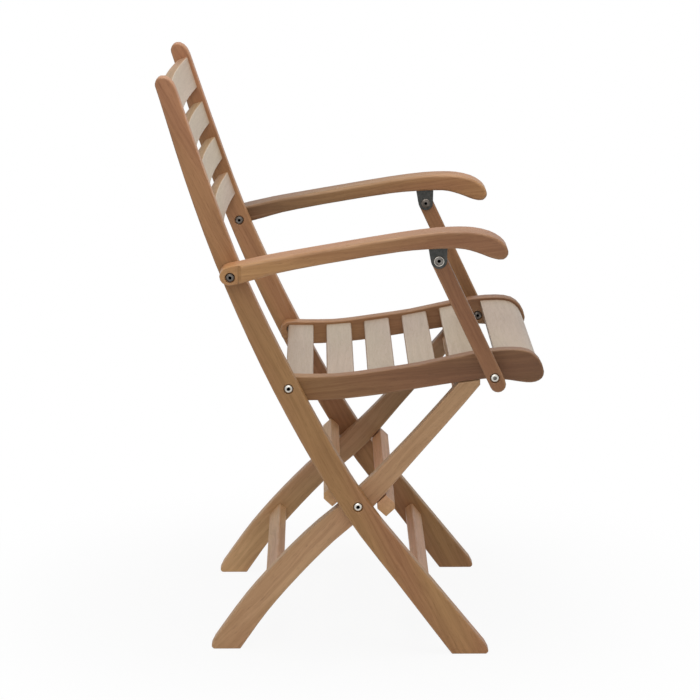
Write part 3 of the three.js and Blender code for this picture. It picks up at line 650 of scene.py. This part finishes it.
@dataclass
class Board:
    """One board, or a bent plate, refined from the frame's solid.

    Attributes:
        node: The frame node that it stands for.
        body: The body that it moves with.
        along: The direction that its grain runs in.
        look: Its own look.
        slot: The record's material slot that it stands for; not used.
        rounding: The radius that softens its sharp edges.
        edge_facing: The way that edges with the second material, painted shade, face.
        edge_spread: How far from that way such an edge may face.
        weld: The distance up to which the solid's corners become one.
        flat_angle: The turn up to which two faces count as one.
        eased_width: The width up to which a face counts as an eased edge.
        tone_spread: How far boards of one tone differ.
        tone_turn: The turn of the tones' wave from one seed to the next.
        pith_step: How far the pattern moves from one seed to the next.
    """

    node: str
    body: str
    along: Vector
    look: Look
    slot: Slot = Slot.FRAME_TEAK
    rounding: float = 0.8 * MM
    edge_facing: Vector = BACKWARD
    edge_spread: float = math.radians(45.0)
    weld: float = 0.002 * MM
    flat_angle: float = math.radians(0.6)
    eased_width: float = 3.0 * MM
    tone_spread: float = 0.04
    tone_turn: float = 2.4
    pith_step: Triple = (0.37, 0.21, 0.13)

    def build(self, *materials: Material) -> None:
        """Makes the board's mesh, dresses it and puts it on its body.

        Args:
            *materials: What it is made of, and for slats a browner copy of it that paints shade on
                        their long edges.
        """
        shape = bmesh.new()
        shape.from_mesh(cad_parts[self.node].data)
        bmesh.ops.remove_doubles(shape, verts=shape.verts, dist=self.weld)
        bmesh.ops.dissolve_limit(
            shape, angle_limit=self.flat_angle, verts=shape.verts, edges=shape.edges,
            use_dissolve_boundaries=False)
        self.round_edges(shape)
        self.lay_grain(shape)
        # Faces turned along edge_facing take the second material: painted shade on the slats' edges
        # beside the painted sheen of their faces.
        if len(materials) > 1:
            shape.normal_update()
            facing = self.edge_facing.normalized()
            for face in shape.faces:
                is_edge = abs(face.normal.dot(facing)) > math.cos(self.edge_spread)
                face.material_index = int(is_edge)
        board = new_piece(f"{self.node}_board", shape, *materials)
        weighted = board.modifiers.new("flat faces stay flat", "WEIGHTED_NORMAL")
        weighted.keep_sharp = True
        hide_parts(self.node)
        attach(board, self.body)

    def round_edges(self, shape: BMesh) -> None:
        """Rounds every sharp edge and marks rounded and eased edges as worn.

        Args:
            shape: The board's mesh, in place.
        """
        wear = shape.loops.layers.float.new("edge_wear")
        sharp = [
            edge for edge in shape.edges
            if edge.is_manifold and edge.calc_face_angle(0.0) > SHARP_TURN
            and edge.calc_length() > self.rounding
        ]
        bmesh.ops.bevel(
            shape, geom=sharp, offset=self.rounding, offset_type="OFFSET", affect="EDGES",
            segments=2, profile=0.5, material=-1, clamp_overlap=False, miter_outer="SHARP")
        for face in shape.faces:
            width = face.calc_area() / max(edge.calc_length() for edge in face.edges)
            for loop in face.loops:
                loop[wear] = float(width < self.eased_width)

    def lay_grain(self, shape: BMesh) -> None:
        """Gives each vertex its place along, across and through the log, and its tone, which fades
        along the grain and carries painted shade on some boards.

        Args:
            shape: The board's mesh, in place.
        """
        along = self.along.normalized()
        through = BACKWARD if self.along == ACROSS else ACROSS
        across = through.cross(along).normalized()
        through = along.cross(across).normalized()
        turn = Matrix((along, across, through))
        seed = self.look.seed
        pith = Vector([step * seed for step in self.pith_step])
        middle = sum((vert.co for vert in shape.verts), Vector()) / len(shape.verts)
        place = shape.verts.layers.float_vector.new("board_place")
        tone_shade = shape.verts.layers.float.new("board_tone_and_shade")
        spread = 1.0 + self.tone_spread * math.sin(seed * self.tone_turn)
        # The tone fades from start to end along the grain; on the rails, the left rear leg and the
        # left arm the darker end is painted shade.
        start, end = (tone * spread for tone in self.look.tones)
        reaches = [along.dot(vert.co) for vert in shape.verts]
        low, high = min(reaches), max(reaches)
        for vert, reach in zip(shape.verts, reaches):
            vert[place] = turn @ (vert.co - middle) + pith
            vert[tone_shade] = start + (end - start) * (reach - low) / (high - low)


@dataclass
class Turning:
    """A steel piece turned on an axis along X, on the axis of the frame node that it stands for.

    Attributes:
        node: The frame node that it stands for.
        body: The body that it moves with.
        profile: Pairs of radius and place on the axis, from one end to the other.
        socket_radius: Half of the socket's width over its corners, or zero for no socket.
        socket_depth: How deep the socket is.
        painted_shade_radius: How far out its second, darker steel reaches as painted shade, or zero
            for none.
        steps: How many steps there are in a turn.
        weld: The distance up to which corners on the axis become one.
    """

    node: str
    body: str
    profile: list[Pair]
    socket_radius: float = 0.0
    socket_depth: float = 0.0
    painted_shade_radius: float = 0.0
    steps: int = 32
    weld: float = 0.001 * MM

    def build(self, *steels: Material) -> None:
        """Makes the piece's mesh, dresses it and puts it on its body.

        Args:
            *steels: The steel that it is made of, and the darker steel of its painted shade if it
                     has one.
        """
        low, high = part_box(self.node)
        axis = Vector((0.0, (low.y + high.y) / 2, (low.z + high.z) / 2))
        shape = bmesh.new()
        verts = [shape.verts.new((x, 0.0, radius)) for radius, x in self.profile]
        edges = [shape.edges.new(pair) for pair in zip(verts, verts[1:])]
        bmesh.ops.spin(
            shape, geom=verts + edges, cent=Vector(), axis=ACROSS, dvec=Vector(),
            angle=math.tau, steps=self.steps, use_merge=True, use_normal_flip=False,
            use_duplicate=False)
        bmesh.ops.remove_doubles(shape, verts=shape.verts, dist=self.weld)
        if self.socket_radius > 0.0:
            self.sink_socket(shape)
        bmesh.ops.recalc_face_normals(shape, faces=shape.faces)
        # Faces within the shade radius take the darker steel: painted shade in the socket or the
        # head's hollow.
        for face in shape.faces:
            middle = face.calc_center_median()
            face.material_index = int(math.hypot(middle.y, middle.z) < self.painted_shade_radius)
        bmesh.ops.translate(shape, verts=shape.verts, vec=axis)
        piece = new_piece(f"{self.node}_turned", shape, *steels)
        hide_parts(self.node)
        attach(piece, self.body)

    def sink_socket(self, shape: BMesh) -> None:
        """Closes the head's open crown with a six-sided socket.

        Args:
            shape: The turned mesh, whose crown is an open ring about the X axis.
        """
        rim = [edge for edge in shape.edges if edge.is_boundary]
        crown = rim[0].verts[0].co.x
        middle = sum(vert.co.x for vert in shape.verts) / len(shape.verts)
        inward = -1.0 if crown > middle else 1.0
        hexagon = bmesh.ops.create_circle(
            shape, cap_ends=False, segments=6, radius=self.socket_radius,
            matrix=Matrix.Translation((crown, 0.0, 0.0)) @ Matrix.Rotation(math.pi / 2, 4, "Y"))
        corners = set(hexagon["verts"])
        sides = [edge for edge in shape.edges if corners.issuperset(edge.verts)]
        bmesh.ops.bridge_loops(shape, edges=rim + sides)
        walls = bmesh.ops.extrude_edge_only(shape, edges=sides)
        deep = [item for item in walls["geom"] if isinstance(item, BMVert)]
        bmesh.ops.translate(shape, verts=deep, vec=(inward * self.socket_depth, 0.0, 0.0))
        bmesh.ops.contextual_create(shape, geom=deep)


@dataclass
class Hardware:
    """The sizes that bolts, nuts and spacers share, beside those that the frame gives.

    Attributes:
        finishes: The chair's materials.
        shank_radius: The bolts' shank.
        head_rim: The height of a head's straight rim.
        bolt_dome: The height of the bolt head's dome.
        nut_dome: The height of the nut head's dome.
        dome_steps: How many steps a dome's section has.
        socket_radius: Half of a socket's width over its corners.
        bolt_socket: How deep a bolt's socket is.
        nut_socket: How deep a nut's socket is.
        mouth_share: The radius of the crown's opening, as a share of the socket's.
        bolt_shade_share: How far a bolt's darker steel of painted shade reaches, as a share of the
            socket's radius.
        nut_shade_share: How far a nut's painted shade does, likewise.
        sleeve_radius: The sleeve nuts' sleeve.
        play: The gap between a shank and the bore round it.
        edge: The rounding of turned edges.
        dish_share: The radius of a dished head's hollow, as a share of the head's.
        dish_depth: How deep that hollow is.
    """

    finishes: Finishes
    shank_radius: float = 3.0 * MM
    head_rim: float = 1.4 * MM
    bolt_dome: float = 2.2 * MM
    nut_dome: float = 1.8 * MM
    dome_steps: int = 6
    socket_radius: float = 2.8 * MM
    bolt_socket: float = 2.2 * MM
    nut_socket: float = 1.6 * MM
    mouth_share: float = 1.15
    bolt_shade_share: float = 1.02
    nut_shade_share: float = 1.1
    sleeve_radius: float = 4.3 * MM
    play: float = 0.3 * MM
    edge: float = 0.35 * MM
    dish_share: float = 0.8
    dish_depth: float = 2.0 * MM

    @staticmethod
    def span(node: str, side: Side) -> Triple:
        """Measures a frame node that is turned on an axis along X.

        Args:
            node: The frame node.
            side: The side of the chair that it is on.

        Returns:
            Its radius, and the places of its inner and outer ends.
        """
        low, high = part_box(node)
        inner, outer = (low.x, high.x) if side is Side.LEFT else (high.x, low.x)
        return (high.z - low.z) / 2, inner, outer

    def domed(self, head: float, rim: float, height: float) -> list[Pair]:
        """Draws the section of a domed crown.

        Args:
            head: The head's radius.
            rim: The place on the axis at which the dome starts.
            height: How far the dome rises from there, which may be negative.

        Returns:
            Pairs of radius and place, from the rim to the open ring round the socket.
        """
        last = math.acos(min(self.socket_radius * self.mouth_share / head, 1.0))
        turns = [last * step / self.dome_steps for step in range(self.dome_steps + 1)]
        return [(head * math.cos(turn), rim + height * math.sin(turn)) for turn in turns]

    def dished(self, head: float, crown: float, out: float) -> list[Pair]:
        """Draws the section of a flat crown with a raised rim and a hollow inside it.

        Args:
            head: The head's radius.
            crown: The rim's place on the axis.
            out: The way that the head faces, as 1 or -1.

        Returns:
            Pairs of radius and place, from the head's edge to the open ring round its socket.
        """
        hollow = head * self.dish_share
        lip = (head + hollow) / 2
        floor = crown - out * self.dish_depth
        return [
            (head, crown - out * self.edge * 2), (head - self.edge, crown - out * self.edge / 2),
            (lip, crown), (hollow + self.edge, crown - out * self.edge / 2),
            (hollow, crown - out * self.edge * 2), (hollow - self.edge, floor),
            (self.socket_radius * self.mouth_share, floor),
        ]

    def bolt(
        self, node: str, body: str, side: Side, steel: Material, is_dished: bool = False,
    ) -> None:
        """Makes a bolt with a domed or dished head and a six-sided socket, with painted shade in
        its socket or hollow.

        Args:
            node: The frame node that it stands for.
            body: The body that it moves with.
            side: The side of the chair that its head faces.
            steel: The steel that it is made of.
            is_dished: Whether its head is dished.
        """
        head, tip, crown = self.span(node, side)
        out = float(side.value)
        rim = crown - out * self.bolt_dome
        seat = rim - out * self.head_rim
        profile = [
            (0.0, tip), (self.shank_radius - self.edge, tip),
            (self.shank_radius, tip + out * self.edge), (self.shank_radius, seat),
            (head - self.edge, seat), (head, seat + out * self.edge),
        ]
        # A dished head's whole hollow takes the darker steel as a painted dark reflection; a domed
        # head's socket takes it as painted shade.
        if is_dished:
            profile += self.dished(head, crown, out)
            depth, shade_reach = self.head_rim, head * self.dish_share
        else:
            profile += self.domed(head, rim, out * self.bolt_dome)
            depth, shade_reach = self.bolt_socket, self.socket_radius * self.bolt_shade_share
        turning = Turning(node, body, profile, self.socket_radius, depth, shade_reach)
        turning.build(steel, self.finishes.painted_shade_steel)

    def sleeve_nut(self, node: str, body: str, side: Side) -> None:
        """Makes a sleeve nut with a domed head and a six-sided socket, in dull steel darkened with
        painted shade and with painted shade in its socket.

        Args:
            node: The frame node that it stands for.
            body: The body that it moves with.
            side: The side of the chair that it is on.
        """
        head, crown, mouth = self.span(node, side)
        out = float(side.value)
        rim = crown + out * self.nut_dome
        seat = rim + out * self.head_rim
        bore = self.shank_radius + self.play
        profile = [
            *reversed(self.domed(head, rim, -out * self.nut_dome)),
            (head, seat - out * self.edge), (head - self.edge, seat),
            (self.sleeve_radius, seat), (self.sleeve_radius, mouth), (bore, mouth),
            (bore, seat), (0.0, seat),
        ]
        # The socket takes the darker steel: painted shade.
        shade_reach = self.socket_radius * self.nut_shade_share
        turning = Turning(node, body, profile, self.socket_radius, self.nut_socket, shade_reach)
        turning.build(self.finishes.dull_shade_steel, self.finishes.painted_shade_steel)

    def spacer(self, node: str, body: str) -> None:
        """Makes a spacer tube with softened rims.

        Args:
            node: The frame node that it stands for.
            body: The body that it moves with.
        """
        radius, low, high = self.span(node, Side.LEFT)
        bore = self.shank_radius + self.play
        profile = [
            (bore, low), (radius - self.edge, low), (radius, low + self.edge),
            (radius, high - self.edge), (radius - self.edge, high), (bore, high), (bore, low),
        ]
        Turning(node, body, profile).build(self.finishes.dull_shade_steel)

    def plain(self, node: str) -> None:
        """Gives a frame node that keeps its shape the dull steel, darkened with painted shade.

        Args:
            node: The frame node.
        """
        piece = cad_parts[node]
        piece.data.materials.clear()
        piece.data.materials.append(self.finishes.dull_shade_steel)


# Sub-assemblies


@dataclass
class SubAssembly:
    """What the sub-assemblies share.

    Attributes:
        hardware: The maker of the bolts, nuts and spacers.
        finishes: The chair's materials.
    """

    hardware: Hardware
    finishes: Finishes


@dataclass
class BackFrame(SubAssembly):
    """The posts, the back slats, the front stretcher, the stop bars and the pivots.

    Attributes:
        slat_count: How many back slats there are.
        post_lean: The direction of the posts' grain, from foot to top.
        slat_lean: The way that the upper edges of the back slats face.
        post_looks: The left and the right post's looks.
        slat_look: The first back slat's look.
        bar_look: The look of the first bar between the posts.
    """

    slat_count: int = 4
    post_lean: Vector = Vector((0.0, 0.46, 0.89))
    slat_lean: Vector = Vector((0.0, 0.36, 0.93))
    post_looks: tuple[Look, Look] = (Look(3, (0.86, 0.88)), Look(8, (0.97, 0.93)))
    slat_look: Look = Look(11, (1.12, 1.12))
    bar_look: Look = Look(20, (1.12, 1.12))

    def build(self) -> None:
        """Makes the sub-assembly's pieces."""
        for side, look in zip(Side, self.post_looks):
            post = Board(f"post_{side.word}", "back_frame", self.post_lean, look)
            post.build(self.finishes.frame_teak)
            self.pivots(side)
        for index in range(self.slat_count):
            slat = Board(
                f"back_slat_{index + 1}", "back_frame", ACROSS, self.slat_look.after(index),
                Slot.SLAT_TEAK, edge_facing=self.slat_lean)
            # The slats' upper and lower edges take the browner copy as painted shade.
            slat.build(self.finishes.slat_teak, self.finishes.slat_edge_shade_teak)
        for index, node in enumerate(("front_stretcher", "stop_bar_front", "stop_bar_rear")):
            bar = Board(node, "back_frame", ACROSS, self.bar_look.after(index))
            bar.build(self.finishes.leg_teak)
        LOG.info("back frame: posts, %d slats, a stretcher and stop bars", self.slat_count)

    def pivots(self, side: Side) -> None:
        """Makes one side's pivots, whose scissor bolt ends in a hidden insert.

        Args:
            side: The side of the chair that they are on.
        """
        bright, dull_shade = self.finishes.bright_steel, self.finishes.dull_shade_steel
        word = side.word
        # The arm pivot's bolt, sunk in its counterbore, takes the dull steel with its painted
        # shade.
        for stem, steel in (("scissor", bright), ("seat_pivot", bright), ("arm_pivot", dull_shade)):
            self.hardware.bolt(f"{stem}_bolt_{word}", "back_frame", side, steel)
            self.hardware.plain(f"{stem}_washer_{word}")
        for stem in ("seat_pivot", "arm_pivot"):
            self.hardware.sleeve_nut(f"{stem}_nut_{word}", "back_frame", side)
        self.hardware.plain(f"scissor_nut_{word}")


@dataclass
class RearLegs(SubAssembly):
    """The rear legs with their stretcher and tie bar.

    Attributes:
        leg_lean: The direction of the legs' grain, from foot to top.
        leg_looks: The left and the right leg's looks; the left one's darker top is painted shade
            under the seat.
        bar_look: The look of the first bar between the legs.
    """

    leg_lean: Vector = Vector((0.0, -0.67, 0.74))
    # The left leg darkens strongly toward its top: painted shade under the seat. The right one
    # darkens a little toward its top.
    leg_looks: tuple[Look, Look] = (Look(5, (1.2, 0.44)), Look(12, (1.0, 0.86)))
    bar_look: Look = Look(25)

    def build(self) -> None:
        """Makes the sub-assembly's pieces."""
        teak = self.finishes.leg_teak
        for side, look in zip(Side, self.leg_looks):
            Board(f"rear_leg_{side.word}", "rear_legs", self.leg_lean, look).build(teak)
        for index, node in enumerate(("rear_stretcher", "tie_bar")):
            Board(node, "rear_legs", ACROSS, self.bar_look.after(index)).build(teak)
        LOG.info("rear legs: two legs, a stretcher and a tie bar")


@dataclass
class Seat(SubAssembly):
    """The seat rails, the seat slats and the struts' bolts.

    Attributes:
        slat_count: How many seat slats there are.
        rail_slope: The direction of the rails' grain, from rear to nose.
        rail_looks: The left and the right rail's looks, with painted shade darkening them toward
            the nose.
        slat_look: The rearmost seat slat's look.
    """

    slat_count: int = 6
    rail_slope: Vector = Vector((0.0, -1.0, 0.1))
    # Both rails darken toward the nose: painted shade where the nose curls under.
    rail_looks: tuple[Look, Look] = (Look(6, (0.86, 0.44)), Look(15, (0.86, 0.44)))
    slat_look: Look = Look(31, (0.9, 0.9))

    def build(self) -> None:
        """Makes the sub-assembly's pieces, of which the front slat has no painted shade on its
        edges.
        """
        pale, brown = self.finishes.slat_teak, self.finishes.slat_edge_shade_teak
        for side, look in zip(Side, self.rail_looks):
            word = side.word
            rail = Board(f"seat_rail_{word}", "seat", self.rail_slope, look)
            rail.build(self.finishes.frame_teak)
            self.hardware.bolt(f"strut_bolt_{word}", "seat", side, self.finishes.bright_steel)
            self.hardware.sleeve_nut(f"strut_nut_{word}", "seat", side)
            self.hardware.spacer(f"strut_spacer_{word}", "seat")
        for index in range(self.slat_count):
            look = self.slat_look.after(index)
            slat = Board(f"seat_slat_{index + 1}", "seat", ACROSS, look, Slot.SLAT_TEAK)
            # The front slat's edges stay pale with the painted sheen; the other slats get painted
            # shade on their edges.
            slat.build(*([pale] if index == self.slat_count - 1 else [pale, brown]))
        LOG.info("seat: two rails and %d slats", self.slat_count)


@dataclass
class Arm(SubAssembly):
    """An arm with its steel bracket and the strut under it.

    Attributes:
        side: The side of the chair that it is on.
        arm_slope: The direction of the arm's grain, from pivot to nose.
        strut_lean: The direction of the strut's grain, from foot to top.
        arm_looks: The left and the right arm's looks; the left one's dark pivot end is painted
            shade.
        strut_looks: The left and the right strut's looks.
        bracket_rounding: The radius of the bracket's bends and edges.
    """

    side: Side
    arm_slope: Vector = Vector((0.0, -1.0, 0.12))
    strut_lean: Vector = Vector((0.0, 0.43, 0.9))
    # The left arm is dark at its pivot end: painted shade there. The right arm darkens toward its
    # nose.
    arm_looks: tuple[Look, Look] = (Look(7, (0.34, 1.04)), Look(17, (1.16, 0.64)))
    strut_looks: tuple[Look, Look] = (Look(11, (0.66, 0.7)), Look(21, (0.66, 0.7)))
    bracket_rounding: float = 0.5 * MM

    def build(self) -> None:
        """Makes the sub-assembly's pieces."""
        word = self.side.word
        body = f"arm_{word}"
        teak = self.finishes.frame_teak
        place = list(Side).index(self.side)
        look, strut_look = self.arm_looks[place], self.strut_looks[place]
        Board(f"arm_{word}", body, self.arm_slope, look).build(teak)
        Board(f"strut_{word}", f"strut_{word}", self.strut_lean, strut_look).build(teak)
        bracket = Board(
            f"arm_bracket_{word}", body, ACROSS, Look(look.seed), Slot.DARK_STEEL,
            self.bracket_rounding)
        bracket.build(self.finishes.dark_steel)
        self.hardware.bolt(
            f"bracket_bolt_{word}", body, self.side, self.finishes.bright_steel, is_dished=True)
        self.hardware.sleeve_nut(f"bracket_nut_{word}", body, self.side)
        for stem in ("bracket_screw_front", "bracket_screw_rear"):
            self.hardware.plain(f"{stem}_{word}")
        LOG.info("arm, bracket and strut on the %s", word)


# Surroundings


@dataclass(frozen=True)
class Lamp:
    """A square soft lamp that isn't seen itself.

    Attributes:
        name: The lamp's name.
        place: Where it hangs.
        size: Its width.
        power: Its power in watts.
    """

    name: str
    place: Triple
    size: float
    power: float

    def hang(self, target: Vector) -> None:
        """Hangs the lamp.

        Args:
            target: The point that it faces.
        """
        data = bpy.data.lights.new(self.name, "AREA")
        data.size = self.size
        data.energy = self.power
        lamp = bpy.data.objects.new(self.name, data)
        lamp.location = self.place
        lamp.rotation_euler = (target - lamp.location).to_track_quat("-Z", "Y").to_euler()
        lamp.visible_camera = False
        bpy.context.scene.collection.objects.link(lamp)


@dataclass
class Studio:
    """The white floor, the soft light and the camera.

    Attributes:
        target_behind_scissor: How far behind the scissor bolts the camera looks.
        target_height: How high above the floor it looks.
        distance: The camera's distance from that point.
        turn: How far the camera turns from looking straight along X, in degrees.
        elevation: The camera's height above the horizon, in degrees.
        lens: The focal length in millimetres.
        sensor: The sensor's width in millimetres.
        clip_end: How far the camera sees.
        floor_reach: Half of the floor's width.
        floor_paint: The floor's colour in the light of the lamps.
        floor_glow: How far the floor shows as plain white at its middle.
        glow_span: The distances from the middle between which that rises to all white.
        sky: The world's strength as light on the chair.
        lamps: The lamps above the chair, on the camera's side and in front of the chair.
    """

    target_behind_scissor: float = 9.5 * MM
    target_height: float = 425.9 * MM
    distance: float = 4.3867
    turn: float = -0.65
    elevation: float = 12.56
    lens: float = 142.1
    sensor: float = 36.0
    clip_end: float = 100.0
    floor_reach: float = 16.0
    floor_paint: Colour = (0.8, 0.8, 0.8, 1.0)
    floor_glow: float = 0.92
    glow_span: Pair = (0.25, 0.8)
    sky: float = 0.24
    lamps: tuple[Lamp, ...] = (
        Lamp("overhead", (-0.25, -0.25, 2.5), 1.5, 35.0),
        Lamp("camera_side", (-1.9, 0.3, 1.35), 1.1, 9.5),
        Lamp("front_fill", (-0.3, -2.6, 1.3), 1.4, 1.2),
    )

    def build(self) -> None:
        """Makes the floor, the lights, the world and the camera."""
        self.lay_floor()
        for lamp in self.lamps:
            lamp.hang(self.target())
        self.light_world()
        self.place_camera()
        bpy.context.scene.view_settings.view_transform = "Standard"
        LOG.info("studio: floor, %d lamps, world and camera", len(self.lamps))

    def target(self) -> Vector:
        """Finds the point that the camera looks at.

        Returns:
            The point, behind the middle of the scissor bolts' axis.
        """
        low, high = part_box(f"scissor_bolt_{Side.LEFT.word}")
        behind = (low.y + high.y) / 2 + self.target_behind_scissor
        return Vector((0.0, behind, self.target_height))

    def lay_floor(self) -> None:
        """Lays a white floor that keeps a faint shadow under the chair."""
        shape = bmesh.new()
        bmesh.ops.create_grid(shape, x_segments=1, y_segments=1, size=self.floor_reach)
        material, shader, surface = new_material("white_floor")
        shader.tree.nodes.remove(surface)
        paint = shader.add("ShaderNodeBsdfDiffuse", {"Color": self.floor_paint})
        place = shader.add("ShaderNodeTexCoord").outputs["Object"]
        reach = shader.add("ShaderNodeVectorMath", {0: place}, operation="LENGTH")
        white = shader.between(reach.outputs["Value"], *self.glow_span, self.floor_glow, 1.0)
        mixed = shader.add("ShaderNodeMixShader", {
            "Fac": shader.math("MULTIPLY", self.seen(shader), white),
            1: paint.outputs["BSDF"],
            2: shader.add("ShaderNodeEmission").outputs["Emission"],
        })
        output = shader.tree.nodes["Material Output"]
        shader.feed(output, {"Surface": mixed.outputs["Shader"]})
        floor = new_piece("studio_floor", shape, material)

    @staticmethod
    def seen(shader: Shader) -> NodeSocket:
        """Tells the rays that see the background from those that light the chair.

        Args:
            shader: The tree to add to.

        Returns:
            A socket with 1 for camera, glossy and transmission rays and 0 for the others.
        """
        rays = shader.add("ShaderNodeLightPath")
        seen = shader.math("MAXIMUM", rays.outputs["Is Camera Ray"], rays.outputs["Is Glossy Ray"])
        return shader.math("MAXIMUM", seen, rays.outputs["Is Transmission Ray"])

    def light_world(self) -> None:
        """Makes a world that looks white and lights the chair softly from all round."""
        world = bpy.data.worlds.new("white_world")
        bpy.context.scene.world = world
        world.use_nodes = True
        world.node_tree.nodes.clear()
        shader = Shader(world.node_tree)
        strength = shader.between(self.seen(shader), 0.0, 1.0, self.sky, 1.0)
        sky = shader.add("ShaderNodeBackground", {
            "Color": (1.0, 1.0, 1.0, 1.0), "Strength": strength,
        })
        shader.add("ShaderNodeOutputWorld", {"Surface": sky.outputs["Background"]})

    def place_camera(self) -> None:
        """Puts the camera at the photograph's viewing angle."""
        turn, rise = math.radians(self.turn), math.radians(self.elevation)
        level = Vector((math.cos(turn), math.sin(turn), 0.0)) * math.cos(rise)
        forward = level - Vector((0.0, 0.0, math.sin(rise)))
        data = bpy.data.cameras.new("photo_camera")
        data.sensor_width = self.sensor
        data.lens = self.lens
        data.clip_end = self.clip_end
        camera = bpy.data.objects.new("photo_camera", data)
        camera.location = self.target() - forward * self.distance
        camera.rotation_euler = forward.to_track_quat("-Z", "Y").to_euler()
        bpy.context.scene.collection.objects.link(camera)
        bpy.context.scene.camera = camera


def main() -> None:
    """Builds the studio and the chair's sub-assemblies."""
    logging.basicConfig(level=logging.INFO, format="%(name)s: %(message)s")
    finishes = Finishes()
    hardware = Hardware(finishes)
    Studio().build()
    BackFrame(hardware, finishes).build()
    RearLegs(hardware, finishes).build()
    Seat(hardware, finishes).build()
    for side in Side:
        Arm(hardware, finishes, side).build()


if __name__ == "__main__":
    main()
